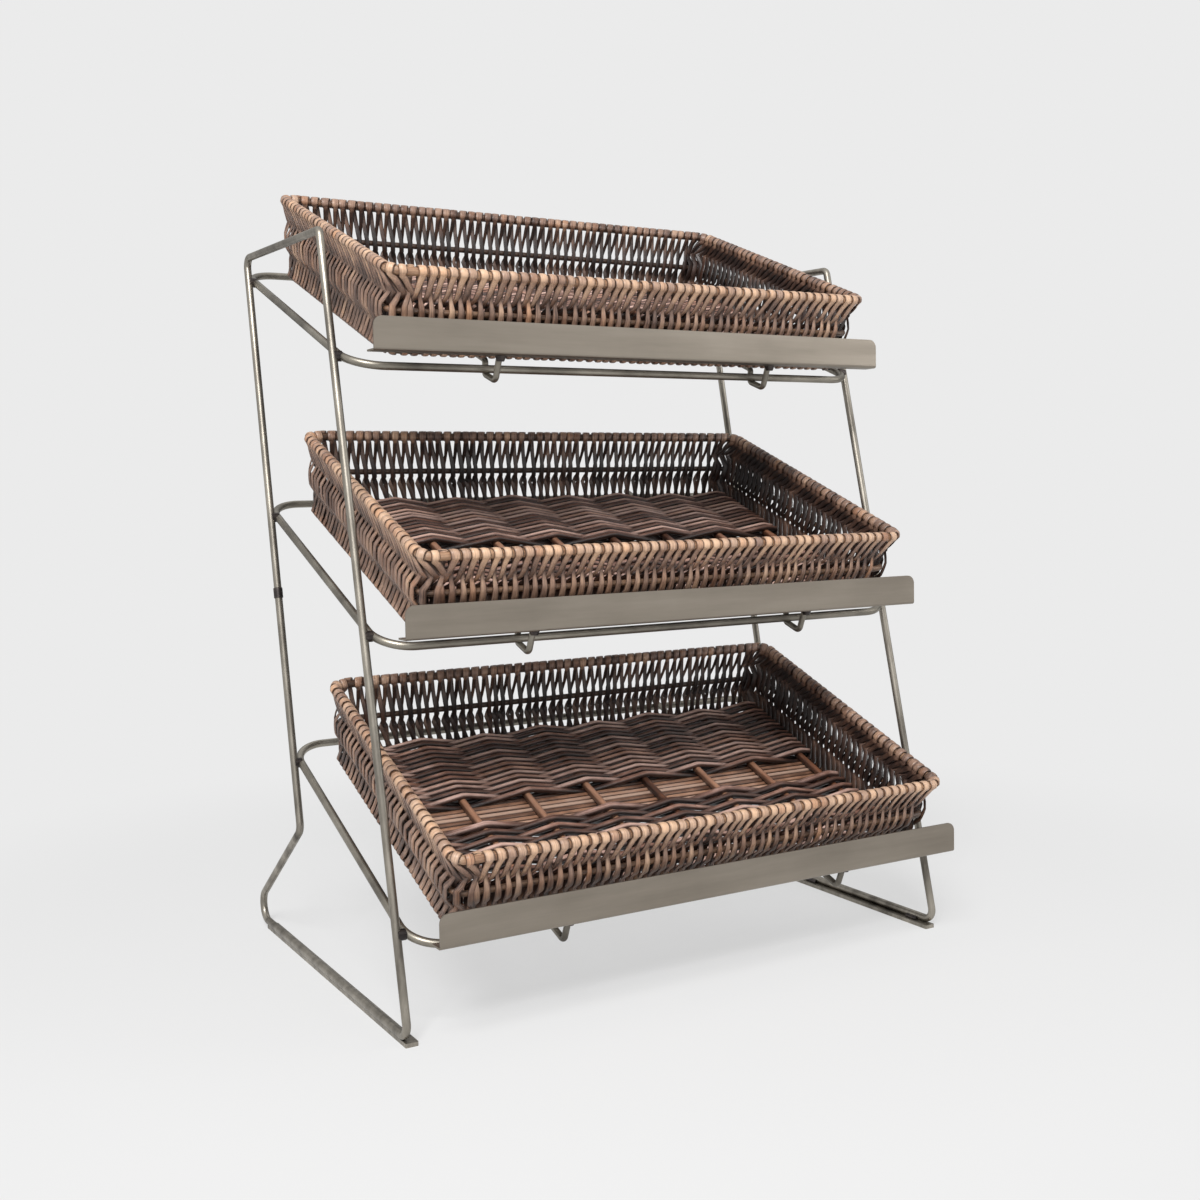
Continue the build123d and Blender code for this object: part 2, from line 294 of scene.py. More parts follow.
def new_tree(name, **inputs):
    """An empty geometry tree with its named inputs, each with a first value."""
    kinds = {int: "NodeSocketInt", float: "NodeSocketFloat", str: "NodeSocketMaterial"}
    tree = bpy.data.node_groups.new(name, "GeometryNodeTree")
    tree.interface.new_socket("Geometry", in_out="OUTPUT", socket_type="NodeSocketGeometry")
    tree.interface.new_socket("Geometry", in_out="INPUT", socket_type="NodeSocketGeometry")
    for label, value in inputs.items():
        kind = kinds[type(value)]
        socket = tree.interface.new_socket(label, in_out="INPUT", socket_type=kind)
        if kind != "NodeSocketMaterial":
            socket.default_value = value
    return tree, add(tree, "NodeGroupInput").outputs


def vector(tree, x, y, z):
    """A vector from three numbers."""
    return add(tree, "ShaderNodeCombineXYZ", {0: x, 1: y, 2: z}).outputs[0]


def combined(tree, operation, first, second):
    """The output of a Vector Math node; to scale a vector, the second is a number."""
    socket = "Scale" if operation == "SCALE" else 1
    return add(tree, "ShaderNodeVectorMath", {0: first, socket: second},
               operation=operation).outputs[0]


def shaken(tree, place, seed, amount, scale=1, detail=1):
    """A small random offset that depends on the place."""
    shake = add(tree, "ShaderNodeTexNoise", {
        "Vector": place, "W": seed, "Scale": scale, "Detail": detail,
    }, noise_dimensions="4D").outputs["Color"]
    return combined(tree, "SCALE", combined(tree, "SUBTRACT", shake, (0.5, 0.5, 0.5)), amount)


def outline(tree, length, width, corner):
    """A closed rounded rectangle; it starts at the back of the right side and runs to the left."""
    sheet = add(tree, "GeometryNodeCurvePrimitiveQuadrilateral", {"Width": length, "Height": width})
    return add(tree, "GeometryNodeFilletCurve", {
        "Curve": sheet.outputs[0], "Radius": corner, "Count": 8,
    }, mode="POLY").outputs[0]


def keep(tree, geometry, name, value, kind="FLOAT", domain="POINT"):
    """Stores a named value on the geometry."""
    return add(tree, "GeometryNodeStoreNamedAttribute", {
        "Geometry": geometry, "Name": name, "Value": value,
    }, data_type=kind, domain=domain).outputs[0]


def kept(tree, name, kind="FLOAT"):
    """Reads a named value back."""
    return add(tree, "GeometryNodeInputNamedAttribute", {"Name": name}, data_type=kind).outputs[0]


def skin(tree, line, sides, size, wide=1):
    """A rod or a flat band along a curve.

    It stores the length along it, the way round it and how far its surface faces up.
    """
    ring = add(tree, "GeometryNodeCurvePrimitiveCircle", {"Resolution": sides, "Radius": 0.5})
    around = add(tree, "GeometryNodeSplineParameter").outputs["Factor"]
    ring = keep(tree, ring.outputs[0], "around", around)
    flat = add(tree, "GeometryNodeTransform", {"Geometry": ring, "Scale": vector(tree, wide, 1, 1)})
    length = add(tree, "GeometryNodeSplineParameter").outputs["Length"]
    line = keep(tree, line, "along", length)
    body = add(tree, "GeometryNodeCurveToMesh", {
        "Curve": line, "Profile Curve": flat.outputs[0], "Scale": size, "Fill Caps": True,
    }).outputs[0]
    normal = add(tree, "GeometryNodeInputNormal").outputs[0]
    body = keep(tree, body, "facing", add(tree, "ShaderNodeSeparateXYZ", {0: normal}).outputs[2])
    return add(tree, "GeometryNodeSetShadeSmooth", {"Geometry": body}).outputs[0]


def close(tree, geometry, material):
    """The tree's end: real geometry with its finish."""
    real = add(tree, "GeometryNodeRealizeInstances", {"Geometry": geometry}).outputs[0]
    done = add(tree, "GeometryNodeSetMaterial", {"Geometry": real, "Material": material})
    add(tree, "NodeGroupOutput", {"Geometry": done.outputs[0]})


def hoop_tree():
    """A closed hoop of rod that bends a little along its length and is darker at the back."""
    darker_at_back, bends_per_metre = 0.45, 22
    tree, given = new_tree(
        "willow_hoop", Length=0.4, Width=0.2, Corner=0.01, Height=0.0, Shift=0.0,
        Rod=0.006, Unevenness=0.0004, Tone=0.35, Seed=0.0, Willow="",
    )
    line = outline(tree, given["Length"], given["Width"], given["Corner"])
    line = add(tree, "GeometryNodeResampleCurve", {"Curve": line, "Length": 0.004}, mode="LENGTH")
    spot = add(tree, "GeometryNodeInputPosition").outputs[0]
    moved = shaken(tree, spot, given["Seed"], given["Unevenness"], bends_per_metre, 2)
    lift = vector(tree, 0, given["Shift"], given["Height"])
    moved = combined(tree, "ADD", moved, lift)
    line = add(tree, "GeometryNodeSetPosition", {"Geometry": line.outputs[0], "Offset": moved})
    backward = add(tree, "ShaderNodeSeparateXYZ", {0: spot}).outputs[1]
    tone = figure(tree, "MULTIPLY_ADD", figure(tree, "DIVIDE", backward, given["Width"]),
                  -darker_at_back, given["Tone"])
    line = keep(tree, line.outputs[0], "tone", tone)
    # This puts the whole hoop part way into the material's painted shade.
    line = keep(tree, line, "outside", 0.2)
    body = skin(tree, line, 10, given["Rod"])
    close(tree, body, given["Willow"])
    return tree


def made_by(tree, name, place, values, start=None):
    """Runs a tree on a starting mesh and returns its result as a plain object in its place."""
    start = start or bpy.data.meshes.new(name + "_start")
    host = bpy.data.objects.new(name + "_host", start)
    bpy.context.collection.objects.link(host)
    modifier = host.modifiers.new("make", "NODES")
    modifier.node_group = tree
    for item in tree.interface.items_tree:
        if item.in_out == "INPUT" and item.name in values:
            modifier[item.identifier] = values[item.name]
    evaluated = host.evaluated_get(bpy.context.evaluated_depsgraph_get())
    mesh = bpy.data.meshes.new_from_object(evaluated)
    mesh.name = name
    bpy.data.objects.remove(host)
    mesh.transform(place)
    piece = bpy.data.objects.new(name, mesh)
    bpy.context.collection.objects.link(piece)
    return piece


def fit(piece, shelf, node):
    """Puts a basket piece on its basket in place of the plain one."""
    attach(piece, shelf + "_basket")
    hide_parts(shelf + "_basket_" + node)


def willow(name, shades, shaded=(1, 1, 1), edge=0.0, flank_shade=0.0):
    """Split or whole willow, with its fibres along it.

    Shades are dark, middle and light. The other three paint shade into the colour. Shaded is the
    painted shade on the side that is turned in and on the low parts of a floor rod, edge is how dark
    the painted shade in the gaps at the two thin edges of a band gets, and the last is how dark the
    painted shade on a rod's flanks gets beside the next rod.
    """
    reddish, neutral, greyish = (1.0, 0.78, 0.6), (1, 1, 1), (0.88, 0.92, 1.0)
    gap_shade_tint, flank_shade_tint = (0.06, 0.03, 0.02, 1), (0.1, 0.07, 0.06, 1)
    fibres_along, fibres_across, next_fibres, next_warmth = 45, 5, 60, 90
    patches_per_metre, fibre_share, patch_share = 55, 1.3, 1.0
    material, tree, shader, where = surface(name)

    def read(label):
        return add(tree, "ShaderNodeAttribute", attribute_name=label).outputs["Fac"]

    def tinted(colour, tint, share):
        return add(tree, "ShaderNodeMix", {0: share, 6: colour, 7: tint}, data_type="RGBA",
                   blend_type="MULTIPLY").outputs[2]

    tone = read("tone")
    turn = figure(tree, "MULTIPLY", read("around"), math.tau)
    sideways = figure(tree, "COSINE", turn)
    fibre_place = vector(tree, figure(tree, "MULTIPLY", read("along"), fibres_along),
                         figure(tree, "MULTIPLY", sideways, fibres_across),
                         figure(tree, "MULTIPLY", tone, next_fibres))
    fibre = noise(tree, fibre_place, 1, 4, 0.68)
    patch = noise(tree, where, patches_per_metre, 3)
    mixed = figure(tree, "MULTIPLY_ADD", figure(tree, "SUBTRACT", fibre, 0.5), fibre_share, tone)
    mixed = figure(tree, "MULTIPLY_ADD", figure(tree, "SUBTRACT", patch, 0.5), patch_share, mixed)
    dark, middle, light = shades
    colour = ramp(tree, mixed, ((0.05, dark), (0.5, middle), (0.95, light)))
    warmth = noise(tree, vector(tree, figure(tree, "MULTIPLY", tone, next_warmth), 0, 0), 1, 1)
    hue = ramp(tree, warmth, ((0.3, reddish), (0.5, neutral), (0.7, greyish)))
    colour = tinted(colour, hue, 0.8)
    # Painted shade: full on the turned-in side and the low parts of floor rods, none where outside
    # is high.
    turned_out = mapped(tree, read("outside"), -0.6, 0.5, curve="SMOOTHSTEP")
    shade = add(tree, "ShaderNodeMix", {0: turned_out, 6: (*shaded, 1), 7: (1, 1, 1, 1)},
                data_type="RGBA").outputs[2]
    colour = tinted(colour, shade, 1.0)
    # Painted shade in the gaps along a band's two thin edges, between neighbouring wraps.
    at_edge = figure(tree, "POWER", figure(tree, "ABSOLUTE", sideways), 5)
    colour = tinted(colour, gap_shade_tint, figure(tree, "MULTIPLY", at_edge, edge))
    # Painted shade on a rod's flanks, darker the less its surface faces up.
    flank = mapped(tree, read("facing"), 0.9, 0.3, 0, flank_shade, "SMOOTHSTEP")
    colour = tinted(colour, flank_shade_tint, flank)
    tree.links.new(colour, shader.inputs["Base Color"])
    tree.links.new(mapped(tree, fibre, 0.3, 0.7, 0.5, 0.3), shader.inputs["Roughness"])
    shader.inputs["Specular IOR Level"].default_value = 0.6
    crown = figure(tree, "MULTIPLY", figure(tree, "SINE", turn), 0.1)
    bump = add(tree, "ShaderNodeBump", {
        "Height": figure(tree, "ADD", fibre, crown), "Strength": 0.5, "Distance": 0.0005,
    }).outputs["Normal"]
    tree.links.new(bump, shader.inputs["Normal"])
    return material


def hoop_size(node, rod):
    """Length and width of a hoop's centreline and its middle, read from the frame."""
    low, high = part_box(node)
    size = high - low
    return size.x - rod, (size.y - rod) / math.cos(slope), (low + high) / 2


# Hoops take part of the painted shade tint below.
hoop_willow = willow("hoop_willow", ((0.06, 0.032, 0.02), (0.3, 0.175, 0.105), (0.56, 0.38, 0.25)),
                     shaded=(0.45, 0.38, 0.36))
hoop_maker = hoop_tree()
places = {}
sizes = {}
for number, shelf in enumerate(shelf_names):
    measured = {
        node: hoop_size(shelf + "_basket_" + node, hoop["wrapped"])
        for node, hoop in hoops.items()
    }
    rim_length, rim_width, rim_middle = measured["rim_hoop"]
    base_length, base_width, base_middle = measured["base_hoop"]
    tilt = Matrix.Rotation(slope, 4, "X")
    place = Matrix.Translation(base_middle) @ tilt @ Matrix.Translation((0, 0, -wrapped_base / 2))
    back = place.inverted()
    middle_height = (back @ measured["middle_hoop"][2]).z + middle_lift
    places[shelf] = place
    sizes[shelf] = {
        "Rim length": rim_length, "Rim width": rim_width, "Rim corner": hoops["rim_hoop"]["corner"],
        "Rim height": (back @ rim_middle).z, "Rim shift": (back @ rim_middle).y,
        "Base length": base_length, "Base width": base_width,
        "Base height": wrapped_base / 2, "Middle height": middle_height,
    }
    for node, hoop in hoops.items():
        length, width, middle = measured[node]
        local = back @ middle
        piece = made_by(hoop_maker, shelf + "_basket_" + hoop["piece"], place, {
            "Length": length, "Width": width, "Corner": hoop["corner"], "Shift": local.y,
            "Height": middle_height if node == "middle_hoop" else local.z,
            "Rod": hoop["rod"], "Tone": hoop["tone"], "Seed": float(number), "Willow": hoop_willow,
        })
        fit(piece, shelf, node)

# Woven walls
# One split-willow strand is wound in a figure of eight: down outside the rim, in behind the
# middle hoop, round the base, out over the middle hoop, up inside the rim and over it.
band_thickness = 0.002
# What the back and the front wall leave bare of their straight length, half of it at each end.
corner_gap = 0.007
# How far the strand's middle line runs from that of each hoop.
over_rim = 0.0042
over_middle = 0.0034
over_base = 0.0031


def spline(share, before, start, end, after):
    """A smooth curve from start to end that heads the way its neighbours lie."""
    first = (end - before) / 3
    last = (after - start) / 3
    square, cube = share ** 2, share ** 3
    return ((2 * cube - 3 * square + 1) * start + (cube - 2 * square + share) * first
            + (3 * square - 2 * cube) * end + (cube - square) * last)


def strand_turn(pitch, drift, skew, swell, crossing, size):
    """One turn of the strand as a line of points: along the wall, out of it, and up.

    Drift is how many pitches the strand has moved along at the upper crossing on its way down
    and up, the middle hoop, the lower crossing and the base, and by how much more on the inner
    side of the base; skew is how far it slides along as it goes outwards. Swell is its breadth
    over the rim, under it, at the crossings and at the middle hoop. Crossing is how far the two
    crossings lie from the middle hoop towards the rim and the base.
    """
    rim, middle, base = size["Rim height"], size["Middle height"], size["Base height"]
    upper = middle + crossing[0] * (rim - middle)
    lower = middle - crossing[1] * (middle - base)
    above, below = 0.7 * middle + 0.3 * upper, 0.5 * middle + 0.5 * lower
    steep, half = math.radians(50), math.pi / 2

    def round_hoop(height, reach, angle):
        return reach * math.cos(angle), height + reach * math.sin(angle)

    dive, up, across, down, foot, heel = drift
    wide, under, slim, full = swell
    # Each station is its place along in pitches, out and up, its breadth, and the steps to the next.
    stations = (
        (0, *round_hoop(rim, over_rim, half), wide, 2),
        (0, *round_hoop(rim, over_rim, steep), wide, 2),
        (0, *round_hoop(rim, over_rim, 0), wide, 2),
        (-0.02, *round_hoop(rim, over_rim, -steep), under, 4),
        (-0.25 + dive, 0, upper, slim, 3),
        (-0.5 + across, -over_middle, above, full, 2),
        (-0.5 + across, -over_middle, below, full, 3),
        (-0.75 + down, 0, lower, slim, 3),
        (-0.62 + foot, *round_hoop(base, over_base, steep), full, 2),
        (-0.6 + foot, *round_hoop(base, over_base, 0), full, 2),
        (-0.56 + foot, *round_hoop(base, over_base, -half), full, 2),
        (-0.53 + foot + 0.6 * heel, *round_hoop(base, over_base, -2 * half), full, 2),
        (-0.5 + foot + heel, *round_hoop(base, over_base, 2 * half - steep), full, 3),
        (-0.25 + down, 0, lower, slim, 3),
        (-0.5 + across, over_middle, below, full, 3),
        (-0.5 + across, over_middle, above, full * 0.85, 2),
        (-0.75 + up, 0, upper, slim * 0.8, 4),
        (-0.98, *round_hoop(rim, over_rim, 2 * half + steep), under, 2),
        (-1, *round_hoop(rim, over_rim, 2 * half), wide, 2),
        (-1, *round_hoop(rim, over_rim, 2 * half - steep), wide, 2),
        (-1, *round_hoop(rim, over_rim, half), wide, 2),
    )
    before, after = stations[-2], stations[1]
    track = [(before[0] + 1, *before[1:]), *stations, (after[0] - 1, *after[1:])]
    line = []
    for spot in range(1, len(track) - 2):
        steps = track[spot][4]
        along, out, height, breadth = zip(*(track[spot + offset][:4] for offset in (-1, 0, 1, 2)))
        for step in range(steps):
            share = step / steps
            line.append((
                along[1] + share * (along[2] - along[1]), spline(share, *out),
                spline(share, *height), breadth[1] + share * (breadth[2] - breadth[1]),
            ))
    line.append(stations[-1][:4])
    mesh = bpy.data.meshes.new("strand_turn")
    mesh.from_pydata([(pitch * along + skew * out, out, height) for along, out, height, _ in line],
                     [(spot, spot + 1) for spot in range(len(line) - 1)], [])
    breadths = mesh.attributes.new("swell", "FLOAT", "POINT")
    breadths.data.foreach_set("value", [point[3] for point in line])
    return mesh


def wall_tree():
    """Winds the strand's turn along one wall, from the base outline up to the rim outline."""
    shiver_size, bulge_size = 0.0003, 0.0002
    strand_difference, patch_difference, rim_colour_and_highlight = 0.35, 0.12, 0.32
    tree, given = new_tree("wound_wall", **{
        "Turns": 40, "Pitch": 0.009, "Start": 0.0,
        "Rim length": 0.45, "Rim width": 0.26, "Rim corner": 0.01, "Rim height": 0.066,
        "Rim shift": 0.002, "Base length": 0.43, "Base width": 0.25,
        "Base height": 0.004, "Band width": 0.006, "Band thickness": 0.0024,
        "Unevenness": 0.001, "Sway": 0.002, "Tone": 0.5, "Seed": 0, "Willow": "",
    })
    step = vector(tree, figure(tree, "MULTIPLY", given["Pitch"], -1), 0, 0)
    line = add(tree, "GeometryNodeMeshLine", {"Count": given["Turns"], "Offset": step}).outputs[0]
    turns = add(tree, "GeometryNodeInstanceOnPoints", {
        "Points": line, "Instance": given["Geometry"],
    }).outputs[0]
    number = add(tree, "GeometryNodeInputIndex").outputs[0]
    turns = keep(tree, turns, "turn", number, "INT", "INSTANCE")
    turns = add(tree, "GeometryNodeRealizeInstances", {"Geometry": turns}).outputs[0]
    turns = add(tree, "GeometryNodeMergeByDistance", {"Geometry": turns, "Distance": 1e-6})
    strand = add(tree, "GeometryNodeMeshToCurve", {"Mesh": turns.outputs[0]}).outputs[0]

    spot = add(tree, "GeometryNodeInputPosition").outputs[0]
    along, out, up = add(tree, "ShaderNodeSeparateXYZ", {0: spot}).outputs
    seed = given["Seed"]
    turns_along = figure(tree, "DIVIDE", along, given["Pitch"])

    def wander(often, number, high=0.0):
        """A smooth random value from about -1 to 1 along the wall."""
        here = vector(tree, figure(tree, "MULTIPLY", turns_along, often), number, high)
        value = add(tree, "ShaderNodeTexNoise", {
            "Vector": here, "W": seed, "Scale": 1, "Detail": 0,
        }, noise_dimensions="4D").outputs["Fac"]
        return figure(tree, "MULTIPLY_ADD", value, 4, -2)

    slide = figure(tree, "MULTIPLY", wander(0.42, 3.0), given["Unevenness"])
    below_rim = mapped(tree, up, figure(tree, "MULTIPLY", given["Rim height"], 0.94),
                       figure(tree, "MULTIPLY", given["Rim height"], 0.72), curve="SMOOTHSTEP")
    sway = figure(tree, "MULTIPLY", figure(tree, "MULTIPLY", wander(0.13, 7.0), given["Sway"]),
                  below_rim)
    shiver = wander(0.9, 11.0, figure(tree, "MULTIPLY", up, 40))
    slide = figure(tree, "ADD", figure(tree, "ADD", slide, sway),
                   figure(tree, "MULTIPLY", shiver, shiver_size))
    bulge = figure(tree, "MULTIPLY", wander(0.8, 19.0), bulge_size)
    height = figure(tree, "SUBTRACT", up, given["Base height"])
    height = figure(tree, "DIVIDE", height,
                    figure(tree, "SUBTRACT", given["Rim height"], given["Base height"]))
    rim = outline(tree, given["Rim length"], given["Rim width"], given["Rim corner"])
    shrink = vector(tree, figure(tree, "DIVIDE", given["Base length"], given["Rim length"]),
                    figure(tree, "DIVIDE", given["Base width"], given["Rim width"]), 1)
    base = add(tree, "GeometryNodeTransform", {"Geometry": rim, "Scale": shrink}).outputs[0]
    whole = add(tree, "GeometryNodeCurveLength", {"Curve": rim}).outputs[0]
    way = figure(tree, "ADD", figure(tree, "ADD", along, slide), given["Start"])
    way = figure(tree, "WRAP", figure(tree, "DIVIDE", way, whole), 1, 0)
    on_rim = add(tree, "GeometryNodeSampleCurve", {"Curves": rim, "Factor": way}).outputs
    on_base = add(tree, "GeometryNodeSampleCurve", {"Curves": base, "Factor": way}).outputs
    wall = add(tree, "ShaderNodeMix", {
        "Factor": height, 4: on_base["Position"], 5: on_rim["Position"],
    }, data_type="VECTOR", clamp_factor=False).outputs[1]
    outward = combined(tree, "CROSS_PRODUCT", on_rim["Tangent"], (0, 0, 1))
    outward = combined(tree, "SCALE", outward, figure(tree, "ADD", out, bulge))
    lift = vector(tree, 0, figure(tree, "MULTIPLY", height, given["Rim shift"]), up)
    wall = combined(tree, "ADD", combined(tree, "ADD", wall, outward), lift)

    chance = add(tree, "FunctionNodeRandomValue", {
        "ID": kept(tree, "turn", "INT"), "Seed": seed,
    }, data_type="FLOAT").outputs[1]
    tone = figure(tree, "MULTIPLY_ADD", figure(tree, "SUBTRACT", chance, 0.5), strand_difference,
                  given["Tone"])
    tone = figure(tree, "MULTIPLY_ADD", wander(0.2, 31.0), patch_difference, tone)
    # Near the rim the strand turns lighter: partly its own paler colour, partly a painted highlight
    # on the top.
    tone = figure(tree, "ADD", tone, mapped(tree, height, 0.8, 0.97, 0, rim_colour_and_highlight))
    strand = keep(tree, strand, "tone", tone)
    # How far the strand lies out of the wall, for the material's painted shade on the turned-in
    # side;
    # the top of the rim is kept out of that shade.
    on_top = figure(tree, "MULTIPLY", figure(tree, "SUBTRACT", height, 0.93), 20)
    outside = figure(tree, "MAXIMUM", figure(tree, "MULTIPLY", out, 250), on_top)
    strand = keep(tree, strand, "outside", outside)
    strand = keep(tree, strand, "across", on_rim["Tangent"], "FLOAT_VECTOR")
    strand = add(tree, "GeometryNodeSetPosition", {"Geometry": strand, "Position": wall}).outputs[0]
    heading = add(tree, "GeometryNodeInputTangent").outputs[0]
    across = kept(tree, "across", "FLOAT_VECTOR")
    lean = add(tree, "ShaderNodeVectorMath", {0: across, 1: heading}, operation="DOT_PRODUCT")
    lean = combined(tree, "SCALE", heading, lean.outputs["Value"])
    across = combined(tree, "SUBTRACT", across, lean)
    across = add(tree, "ShaderNodeVectorMath", {0: across}, operation="NORMALIZE")
    strand = add(tree, "GeometryNodeSetCurveNormal", {
        "Curve": strand, "Normal": across.outputs[0],
    }, mode="FREE").outputs[0]
    size = figure(tree, "MULTIPLY", kept(tree, "swell"), given["Band thickness"])
    size = figure(tree, "MULTIPLY", size, figure(tree, "MULTIPLY_ADD", wander(0.4, 23.0), 0.12, 1))
    wide = figure(tree, "DIVIDE", given["Band width"], given["Band thickness"])
    body = skin(tree, strand, 8, size, wide)
    close(tree, body, given["Willow"])
    return tree


wall_maker = wall_tree()
# Wall strands carry painted shade on their turned-in side and in the gaps along their edges.
wall_willow = willow("wall_willow", ((0.055, 0.03, 0.023), (0.325, 0.197, 0.14), (0.7, 0.46, 0.3)),
                     shaded=(0.2, 0.15, 0.135), edge=0.92)
# How the strand drifts on the back wall, on the front wall and on the two end walls.
straight = (0, 0, 0, 0.12, 0, -0.45)
leaning = (-0.2, -0.25, -0.5, -0.75, -0.72, 0)
zigzag = (1.6, 1.6, 0.8, 0.95, -0.1, 0)
# The right wall's low tone is painted shade on its inner side, which the camera sees.
weaves = {
    "back": {"turns": 50, "drift": straight, "skew": -0.5, "swell": (1, 0.57, 0.575, 0.57),
             "crossing": (0.48, 0.36), "width": 0.0074, "tone": 0.12},
    "left": {"turns": 35, "drift": zigzag, "skew": 0, "swell": (1, 0.85, 0.74, 0.9),
             "crossing": (0.45, 0.45), "width": 0.0068, "tone": 0.38},
    "front": {"turns": 50, "drift": leaning, "skew": 0.1, "swell": (1, 0.84, 0.56, 0.8),
              "crossing": (0.36, 0.4), "width": 0.0074, "tone": 0.46},
    "right": {"turns": 35, "drift": zigzag, "skew": 0, "swell": (1, 0.85, 0.68, 0.86),
              "crossing": (0.45, 0.45), "width": 0.0068, "tone": 0.1},
}
for number, shelf in enumerate(shelf_names):
    size = sizes[shelf]
    bend = size["Rim corner"] * math.pi / 2
    long_side = size["Rim length"] - 2 * size["Rim corner"]
    short_side = size["Rim width"] - 2 * size["Rim corner"]
    whole = 4 * bend + 2 * (long_side + short_side)
    wall_starts = {
        "back": bend + long_side - corner_gap / 2, "left": 3 * bend + long_side + short_side,
        "front": 3 * bend + 2 * long_side + short_side, "right": whole + bend,
    }
    for spot, (side, weave) in enumerate(weaves.items()):
        on_end = side in ("left", "right")
        reach = short_side + 2 * bend if on_end else long_side - corner_gap
        pitch = reach / weave["turns"]
        turn = strand_turn(pitch, weave["drift"], weave["skew"], weave["swell"],
                           weave["crossing"], size)
        piece = made_by(wall_maker, shelf + "_basket_" + side + "_wall", places[shelf], {
            **size, "Turns": weave["turns"], "Pitch": pitch, "Start": wall_starts[side],
            "Band width": weave["width"], "Band thickness": band_thickness,
            "Unevenness": 0.0017, "Sway": 0.0013, "Tone": weave["tone"],
            "Seed": 10 * number + spot, "Willow": wall_willow,
        }, turn)
        fit(piece, shelf, "wall_weave")

# Basket floor
# Willow rods woven over and under eight stakes, in a front panel of thicker rods and a back panel
# of thin ones; between the panels lighter sticks lie under the stakes.
stake_count = 8
stake_rod = 0.0066
stake_height = 0.0087
stake_gap = 0.406 / (stake_count - 1)
stick_count = 9
stick_rod = 0.0051
stick_pitch = 0.0055
stick_height = 0.0027
# How much shorter stakes and sticks are than the base hoop is inside.
play = 0.001
# How far a panel's first rod lies from the basket's middle, and its last one from the base hoop.
first_rod = 0.020
panel_margin = 0.0035
panels = (
    {"side": "front", "way": -1, "rods": 20, "rod": 0.0050},
    {"side": "back", "way": 1, "rods": 28, "rod": 0.0042},
)


def rod_row(tree, half_length, points, count, pitch, middle, height):
    """Straight lines from end to end of the basket, side by side about a middle line."""
    end = vector(tree, half_length, 0, 0)
    start = vector(tree, figure(tree, "MULTIPLY", half_length, -1), 0, 0)
    rod = add(tree, "GeometryNodeCurvePrimitiveLine", {"Start": start, "End": end}).outputs[0]
    rod = add(tree, "GeometryNodeResampleCurve", {"Curve": rod, "Count": points}).outputs[0]
    spread = figure(tree, "MULTIPLY", pitch, figure(tree, "SUBTRACT", count, 1))
    first = vector(tree, 0, figure(tree, "MULTIPLY_ADD", spread, -0.5, middle), height)
    row = add(tree, "GeometryNodeMeshLine", {
        "Count": count, "Start Location": first, "Offset": vector(tree, 0, pitch, 0),
    }).outputs[0]
    return add(tree, "GeometryNodeInstanceOnPoints", {"Points": row, "Instance": rod}).outputs[0]


def rods_tree():
    """Straight rods side by side, each a little crooked."""
    tree, given = new_tree(
        "straight_rods", Count=8, Length=0.2, Rod=0.006, Gap=0.05, Height=0.009,
        Unevenness=0.001, Seed=0, Willow="",
    )
    rods = rod_row(tree, figure(tree, "MULTIPLY", given["Length"], 0.5), 24, given["Count"],
                   given["Gap"], 0, given["Height"])
    chance = add(tree, "FunctionNodeRandomValue", {"Seed": given["Seed"]}, data_type="FLOAT")
    rods = keep(tree, rods, "tone", chance.outputs[1], domain="INSTANCE")
    # Stakes and sticks stay clear of the painted shade on turned-in sides.
    rods = keep(tree, rods, "outside", 1.0, domain="INSTANCE")
    rods = add(tree, "GeometryNodeRealizeInstances", {"Geometry": rods}).outputs[0]
    spot = add(tree, "GeometryNodeInputPosition").outputs[0]
    squeezed = combined(tree, "MULTIPLY", spot, (12, 300, 1))
    shake = shaken(tree, squeezed, given["Seed"], given["Unevenness"])
    rods = add(tree, "GeometryNodeSetPosition", {"Geometry": rods, "Offset": shake}).outputs[0]
    body = skin(tree, rods, 10, given["Rod"])
    close(tree, body, given["Willow"])
    return tree


